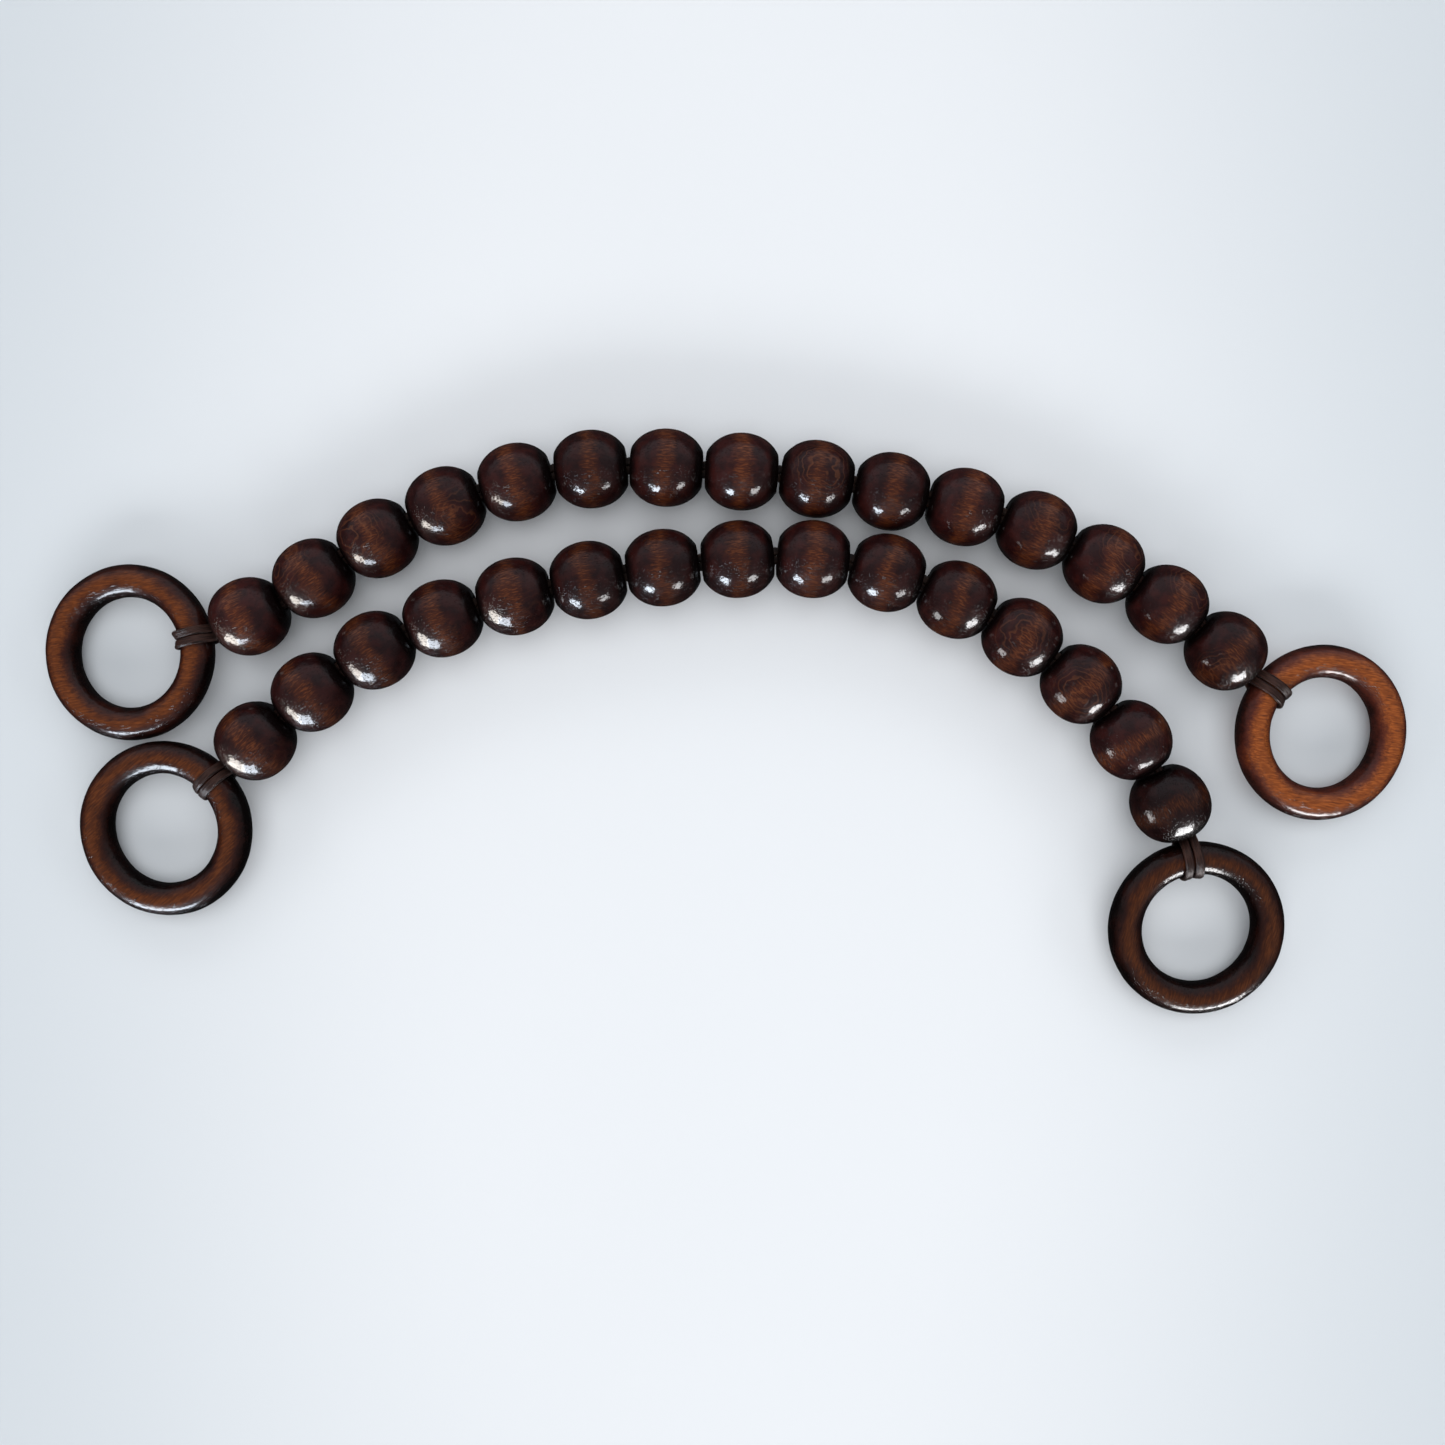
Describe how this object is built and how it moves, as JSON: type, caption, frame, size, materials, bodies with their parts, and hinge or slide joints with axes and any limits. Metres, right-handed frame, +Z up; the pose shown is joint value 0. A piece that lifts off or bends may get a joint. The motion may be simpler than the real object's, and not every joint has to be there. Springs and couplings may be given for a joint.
{
  "type": "pair of wooden bead handles",
  "caption": "Pair of bowed strands of round dark-stained wooden beads on doubled lace, each ending in wooden rings, used as bag handles or tie-backs.",
  "frame": {"origin": "on the surface that both strands lie on, at the middle of the pair", "axes": "+X along the strands to the right, +Y towards the outside of their bow, +Z up"},
  "size_m": [0.3566, 0.1524, 0.02],
  "materials": {
    "dark_wood": "dark red-brown stain under gloss varnish",
    "brown_wood": "brown stain under gloss varnish",
    "light_wood": "orange-brown stain under gloss varnish",
    "lace": "waxed"
  },
  "bodies": {
    "back_lace_01": {"back_lace_01": "lace"},
    "back_lace_02": {"back_lace_02": "lace"},
    "back_lace_03": {"back_lace_03": "lace"},
    "back_lace_04": {"back_lace_04": "lace"},
    "back_lace_05": {"back_lace_05": "lace"},
    "back_lace_06": {"back_lace_06": "lace"},
    "back_lace_07": {"back_lace_07": "lace"},
    "back_lace_08": {"back_lace_08": "lace"},
    "back_lace_09": {"back_lace_09": "lace"},
    "back_lace_10": {"back_lace_10": "lace"},
    "back_lace_11": {"back_lace_11": "lace"},
    "back_lace_12": {"back_lace_12": "lace"},
    "back_lace_13": {"back_lace_13": "lace"},
    "back_bead_01": {"back_bead_01": "dark_wood"},
    "back_bead_02": {"back_bead_02": "dark_wood"},
    "back_bead_03": {"back_bead_03": "dark_wood"},
    "back_bead_04": {"back_bead_04": "dark_wood"},
    "back_bead_05": {"back_bead_05": "dark_wood"},
    "back_bead_06": {"back_bead_06": "dark_wood"},
    "back_bead_07": {"back_bead_07": "dark_wood"},
    "back_bead_08": {"back_bead_08": "dark_wood"},
    "back_bead_09": {"back_bead_09": "dark_wood"},
    "back_bead_10": {"back_bead_10": "dark_wood"},
    "back_bead_11": {"back_bead_11": "dark_wood"},
    "back_bead_12": {"back_bead_12": "dark_wood"},
    "back_bead_13": {"back_bead_13": "dark_wood"},
    "back_bead_14": {"back_bead_14": "dark_wood"},
    "back_bead_15": {"back_bead_15": "dark_wood"},
    "back_ring_left": {"back_ring_left": "brown_wood"},
    "back_ring_right": {"back_ring_right": "light_wood"},
    "front_lace_01": {"front_lace_01": "lace"},
    "front_lace_02": {"front_lace_02": "lace"},
    "front_lace_03": {"front_lace_03": "lace"},
    "front_lace_04": {"front_lace_04": "lace"},
    "front_lace_05": {"front_lace_05": "lace"},
    "front_lace_06": {"front_lace_06": "lace"},
    "front_lace_07": {"front_lace_07": "lace"},
    "front_lace_08": {"front_lace_08": "lace"},
    "front_lace_09": {"front_lace_09": "lace"},
    "front_lace_10": {"front_lace_10": "lace"},
    "front_lace_11": {"front_lace_11": "lace"},
    "front_lace_12": {"front_lace_12": "lace"},
    "front_lace_13": {"front_lace_13": "lace"},
    "front_bead_01": {"front_bead_01": "dark_wood"},
    "front_bead_02": {"front_bead_02": "dark_wood"},
    "front_bead_03": {"front_bead_03": "dark_wood"},
    "front_bead_04": {"front_bead_04": "dark_wood"},
    "front_bead_05": {"front_bead_05": "dark_wood"},
    "front_bead_06": {"front_bead_06": "dark_wood"},
    "front_bead_07": {"front_bead_07": "dark_wood"},
    "front_bead_08": {"front_bead_08": "dark_wood"},
    "front_bead_09": {"front_bead_09": "dark_wood"},
    "front_bead_10": {"front_bead_10": "dark_wood"},
    "front_bead_11": {"front_bead_11": "dark_wood"},
    "front_bead_12": {"front_bead_12": "dark_wood"},
    "front_bead_13": {"front_bead_13": "dark_wood"},
    "front_bead_14": {"front_bead_14": "dark_wood"},
    "front_bead_15": {"front_bead_15": "dark_wood"},
    "front_ring_left": {"front_ring_left": "brown_wood"},
    "front_ring_right": {"front_ring_right": "brown_wood"}
  },
  "joints": [
    {"name": "front_strand_lift", "type": "slide", "parent": "back_lace_07", "child": "front_lace_07", "axis": [0, 0, 1], "range_m": [0, 0.15]},
    {"name": "back_bend_left_1", "type": "hinge", "parent": "back_lace_07", "child": "back_lace_06", "pos_m": [-0.00559, 0.06566, 0.01], "axis": [0.0523, 0.9986, 0], "range_deg": [-10, 10]},
    {"name": "back_bend_left_2", "type": "hinge", "parent": "back_lace_06", "child": "back_lace_05", "pos_m": [-0.02506, 0.06668, 0.01], "axis": [-0.0175, 0.9998, 0], "range_deg": [-10, 10]},
    {"name": "back_bend_left_3", "type": "hinge", "parent": "back_lace_05", "child": "back_lace_04", "pos_m": [-0.04448, 0.06498, 0.01], "axis": [-0.1736, 0.9848, 0], "range_deg": [-10, 10]},
    {"name": "back_bend_left_4", "type": "hinge", "parent": "back_lace_04", "child": "back_lace_03", "pos_m": [-0.06332, 0.05994, 0.01], "axis": [-0.3173, 0.9483, 0], "range_deg": [-10, 10]},
    {"name": "back_bend_left_5", "type": "hinge", "parent": "back_lace_03", "child": "back_lace_02", "pos_m": [-0.0814, 0.05263, 0.01], "axis": [-0.4305, 0.9026, 0], "range_deg": [-10, 10]},
    {"name": "back_bend_left_6", "type": "hinge", "parent": "back_lace_02", "child": "back_lace_01", "pos_m": [-0.09846, 0.04318, 0.01], "axis": [-0.5299, 0.848, 0], "range_deg": [-10, 10]},
    {"name": "back_ring_left_swing", "type": "hinge", "parent": "back_lace_01", "child": "back_ring_left", "pos_m": [-0.13731, 0.02244, 0.009], "axis": [-0.2079, 0.9781, 0], "range_deg": [-70, 120]},
    {"name": "back_bend_right_1", "type": "hinge", "parent": "back_lace_07", "child": "back_lace_08", "pos_m": [0.01389, 0.06464, 0.01], "axis": [-0.0958, -0.9954, 0], "range_deg": [-10, 10]},
    {"name": "back_bend_right_2", "type": "hinge", "parent": "back_lace_08", "child": "back_lace_09", "pos_m": [0.0332, 0.06193, 0.01], "axis": [-0.165, -0.9863, 0], "range_deg": [-10, 10]},
    {"name": "back_bend_right_3", "type": "hinge", "parent": "back_lace_09", "child": "back_lace_10", "pos_m": [0.05234, 0.05821, 0.01], "axis": [-0.2079, -0.9781, 0], "range_deg": [-10, 10]},
    {"name": "back_bend_right_4", "type": "hinge", "parent": "back_lace_10", "child": "back_lace_11", "pos_m": [0.07134, 0.05382, 0.01], "axis": [-0.309, -0.9511, 0], "range_deg": [-10, 10]},
    {"name": "back_bend_right_5", "type": "hinge", "parent": "back_lace_11", "child": "back_lace_12", "pos_m": [0.08929, 0.0462, 0.01], "axis": [-0.4462, -0.8949, 0], "range_deg": [-10, 10]},
    {"name": "back_bend_right_6", "type": "hinge", "parent": "back_lace_12", "child": "back_lace_13", "pos_m": [0.10618, 0.03645, 0.01], "axis": [-0.5373, -0.8434, 0], "range_deg": [-10, 10]},
    {"name": "back_ring_right_swing", "type": "hinge", "parent": "back_lace_13", "child": "back_ring_right", "pos_m": [0.14079, 0.00903, 0.009], "axis": [-0.6157, -0.788, 0], "range_deg": [-70, 120]},
    {"name": "back_bead_01_spin", "type": "hinge", "parent": "back_lace_01", "child": "back_bead_01", "pos_m": [-0.12319, 0.02772, 0.01], "axis": [0.8988, 0.4384, 0], "continuous": true},
    {"name": "back_bead_02_spin", "type": "hinge", "parent": "back_lace_01", "child": "back_bead_02", "pos_m": [-0.10644, 0.03759, 0.01], "axis": [0.8192, 0.5736, 0], "continuous": true},
    {"name": "back_bead_03_spin", "type": "hinge", "parent": "back_lace_02", "child": "back_bead_03", "pos_m": [-0.08993, 0.04791, 0.01], "axis": [0.8746, 0.4848, 0], "continuous": true},
    {"name": "back_bead_04_spin", "type": "hinge", "parent": "back_lace_03", "child": "back_bead_04", "pos_m": [-0.07236, 0.05629, 0.01], "axis": [0.9272, 0.3746, 0], "continuous": true},
    {"name": "back_bead_05_spin", "type": "hinge", "parent": "back_lace_04", "child": "back_bead_05", "pos_m": [-0.0539, 0.06246, 0.01], "axis": [0.9659, 0.2588, 0], "continuous": true},
    {"name": "back_bead_06_spin", "type": "hinge", "parent": "back_lace_05", "child": "back_bead_06", "pos_m": [-0.03477, 0.06583, 0.01], "axis": [0.9962, 0.0872, 0], "continuous": true},
    {"name": "back_bead_07_spin", "type": "hinge", "parent": "back_lace_06", "child": "back_bead_07", "pos_m": [-0.01532, 0.06617, 0.01], "axis": [0.9986, -0.0523, 0], "continuous": true},
    {"name": "back_bead_08_spin", "type": "hinge", "parent": "back_lace_07", "child": "back_bead_08", "pos_m": [0.00415, 0.06515, 0.01], "axis": [0.9986, -0.0523, 0], "continuous": true},
    {"name": "back_bead_09_spin", "type": "hinge", "parent": "back_lace_08", "child": "back_bead_09", "pos_m": [0.02354, 0.06329, 0.01], "axis": [0.9903, -0.1392, 0], "continuous": true},
    {"name": "back_bead_10_spin", "type": "hinge", "parent": "back_lace_09", "child": "back_bead_10", "pos_m": [0.04277, 0.06007, 0.01], "axis": [0.9816, -0.1908, 0], "continuous": true},
    {"name": "back_bead_11_spin", "type": "hinge", "parent": "back_lace_10", "child": "back_bead_11", "pos_m": [0.06184, 0.05602, 0.01], "axis": [0.9744, -0.225, 0], "continuous": true},
    {"name": "back_bead_12_spin", "type": "hinge", "parent": "back_lace_11", "child": "back_bead_12", "pos_m": [0.08031, 0.05001, 0.01], "axis": [0.9205, -0.3907, 0], "continuous": true},
    {"name": "back_bead_13_spin", "type": "hinge", "parent": "back_lace_12", "child": "back_bead_13", "pos_m": [0.09773, 0.04133, 0.01], "axis": [0.866, -0.5, 0], "continuous": true},
    {"name": "back_bead_14_spin", "type": "hinge", "parent": "back_lace_13", "child": "back_bead_14", "pos_m": [0.11416, 0.03086, 0.01], "axis": [0.8192, -0.5736, 0], "continuous": true},
    {"name": "back_bead_15_spin", "type": "hinge", "parent": "back_lace_13", "child": "back_bead_15", "pos_m": [0.1294, 0.01874, 0.01], "axis": [0.7431, -0.6691, 0], "continuous": true},
    {"name": "front_bend_left_1", "type": "hinge", "parent": "front_lace_07", "child": "front_lace_06", "pos_m": [-0.00656, 0.0417, 0.01], "axis": [-0.1132, 0.9936, 0], "range_deg": [-10, 10]},
    {"name": "front_bend_left_2", "type": "hinge", "parent": "front_lace_06", "child": "front_lace_05", "pos_m": [-0.02587, 0.03899, 0.01], "axis": [-0.165, 0.9863, 0], "range_deg": [-10, 10]},
    {"name": "front_bend_left_3", "type": "hinge", "parent": "front_lace_05", "child": "front_lace_04", "pos_m": [-0.04501, 0.03527, 0.01], "axis": [-0.2164, 0.9763, 0], "range_deg": [-10, 10]},
    {"name": "front_bend_left_4", "type": "hinge", "parent": "front_lace_04", "child": "front_lace_03", "pos_m": [-0.06394, 0.03055, 0.01], "axis": [-0.2924, 0.9563, 0], "range_deg": [-10, 10]},
    {"name": "front_bend_left_5", "type": "hinge", "parent": "front_lace_03", "child": "front_lace_02", "pos_m": [-0.08226, 0.02388, 0.01], "axis": [-0.4226, 0.9063, 0], "range_deg": [-10, 10]},
    {"name": "front_bend_left_6", "type": "hinge", "parent": "front_lace_02", "child": "front_lace_01", "pos_m": [-0.09915, 0.01413, 0.01], "axis": [-0.5592, 0.829, 0], "range_deg": [-10, 10]},
    {"name": "front_ring_left_swing", "type": "hinge", "parent": "front_lace_01", "child": "front_ring_left", "pos_m": [-0.13254, -0.01469, 0.009], "axis": [-0.682, 0.7314, 0], "range_deg": [-70, 120]},
    {"name": "front_bend_right_1", "type": "hinge", "parent": "front_lace_07", "child": "front_lace_08", "pos_m": [0.01286, 0.0434, 0.01], "axis": [0, -1, 0], "range_deg": [-10, 10]},
    {"name": "front_bend_right_2", "type": "hinge", "parent": "front_lace_08", "child": "front_lace_09", "pos_m": [0.03229, 0.0417, 0.01], "axis": [-0.1822, -0.9833, 0], "range_deg": [-10, 10]},
    {"name": "front_bend_right_3", "type": "hinge", "parent": "front_lace_09", "child": "front_lace_10", "pos_m": [0.05103, 0.03633, 0.01], "axis": [-0.3584, -0.9336, 0], "range_deg": [-10, 10]},
    {"name": "front_bend_right_4", "type": "hinge", "parent": "front_lace_10", "child": "front_lace_11", "pos_m": [0.06856, 0.02778, 0.01], "axis": [-0.5, -0.866, 0], "range_deg": [-10, 10]},
    {"name": "front_bend_right_5", "type": "hinge", "parent": "front_lace_11", "child": "front_lace_12", "pos_m": [0.08473, 0.01688, 0.01], "axis": [-0.6225, -0.7826, 0], "range_deg": [-10, 10]},
    {"name": "front_bend_right_6", "type": "hinge", "parent": "front_lace_12", "child": "front_lace_13", "pos_m": [0.09899, 0.00358, 0.01], "axis": [-0.7431, -0.6691, 0], "range_deg": [-10, 10]},
    {"name": "front_ring_right_swing", "type": "hinge", "parent": "front_lace_13", "child": "front_ring_right", "pos_m": [0.11998, -0.03499, 0.009], "axis": [-0.9877, -0.1564, 0], "range_deg": [-70, 120]},
    {"name": "front_bead_01_spin", "type": "hinge", "parent": "front_lace_01", "child": "front_bead_01", "pos_m": [-0.12164, -0.00452, 0.01], "axis": [0.7314, 0.682, 0], "continuous": true},
    {"name": "front_bead_02_spin", "type": "hinge", "parent": "front_lace_01", "child": "front_bead_02", "pos_m": [-0.10683, 0.00813, 0.01], "axis": [0.788, 0.6157, 0], "continuous": true},
    {"name": "front_bead_03_spin", "type": "hinge", "parent": "front_lace_02", "child": "front_bead_03", "pos_m": [-0.0907, 0.01901, 0.01], "axis": [0.866, 0.5, 0], "continuous": true},
    {"name": "front_bead_04_spin", "type": "hinge", "parent": "front_lace_03", "child": "front_bead_04", "pos_m": [-0.0731, 0.02722, 0.01], "axis": [0.9397, 0.342, 0], "continuous": true},
    {"name": "front_bead_05_spin", "type": "hinge", "parent": "front_lace_04", "child": "front_bead_05", "pos_m": [-0.05447, 0.03291, 0.01], "axis": [0.9703, 0.2419, 0], "continuous": true},
    {"name": "front_bead_06_spin", "type": "hinge", "parent": "front_lace_05", "child": "front_bead_06", "pos_m": [-0.03544, 0.03713, 0.01], "axis": [0.9816, 0.1908, 0], "continuous": true},
    {"name": "front_bead_07_spin", "type": "hinge", "parent": "front_lace_06", "child": "front_bead_07", "pos_m": [-0.01622, 0.04035, 0.01], "axis": [0.9903, 0.1392, 0], "continuous": true},
    {"name": "front_bead_08_spin", "type": "hinge", "parent": "front_lace_07", "child": "front_bead_08", "pos_m": [0.00315, 0.04255, 0.01], "axis": [0.9962, 0.0872, 0], "continuous": true},
    {"name": "front_bead_09_spin", "type": "hinge", "parent": "front_lace_08", "child": "front_bead_09", "pos_m": [0.02258, 0.04255, 0.01], "axis": [0.9962, -0.0872, 0], "continuous": true},
    {"name": "front_bead_10_spin", "type": "hinge", "parent": "front_lace_09", "child": "front_bead_10", "pos_m": [0.04166, 0.03902, 0.01], "axis": [0.9613, -0.2756, 0], "continuous": true},
    {"name": "front_bead_11_spin", "type": "hinge", "parent": "front_lace_10", "child": "front_bead_11", "pos_m": [0.0598, 0.03205, 0.01], "axis": [0.8988, -0.4384, 0], "continuous": true},
    {"name": "front_bead_12_spin", "type": "hinge", "parent": "front_lace_11", "child": "front_bead_12", "pos_m": [0.07664, 0.02233, 0.01], "axis": [0.829, -0.5592, 0], "continuous": true},
    {"name": "front_bead_13_spin", "type": "hinge", "parent": "front_lace_12", "child": "front_bead_13", "pos_m": [0.09186, 0.01023, 0.01], "axis": [0.7314, -0.682, 0], "continuous": true},
    {"name": "front_bead_14_spin", "type": "hinge", "parent": "front_lace_13", "child": "front_bead_14", "pos_m": [0.10486, -0.00421, 0.01], "axis": [0.6018, -0.7986, 0], "continuous": true},
    {"name": "front_bead_15_spin", "type": "hinge", "parent": "front_lace_13", "child": "front_bead_15", "pos_m": [0.115, -0.02076, 0.01], "axis": [0.4384, -0.8988, 0], "continuous": true}
  ]
}
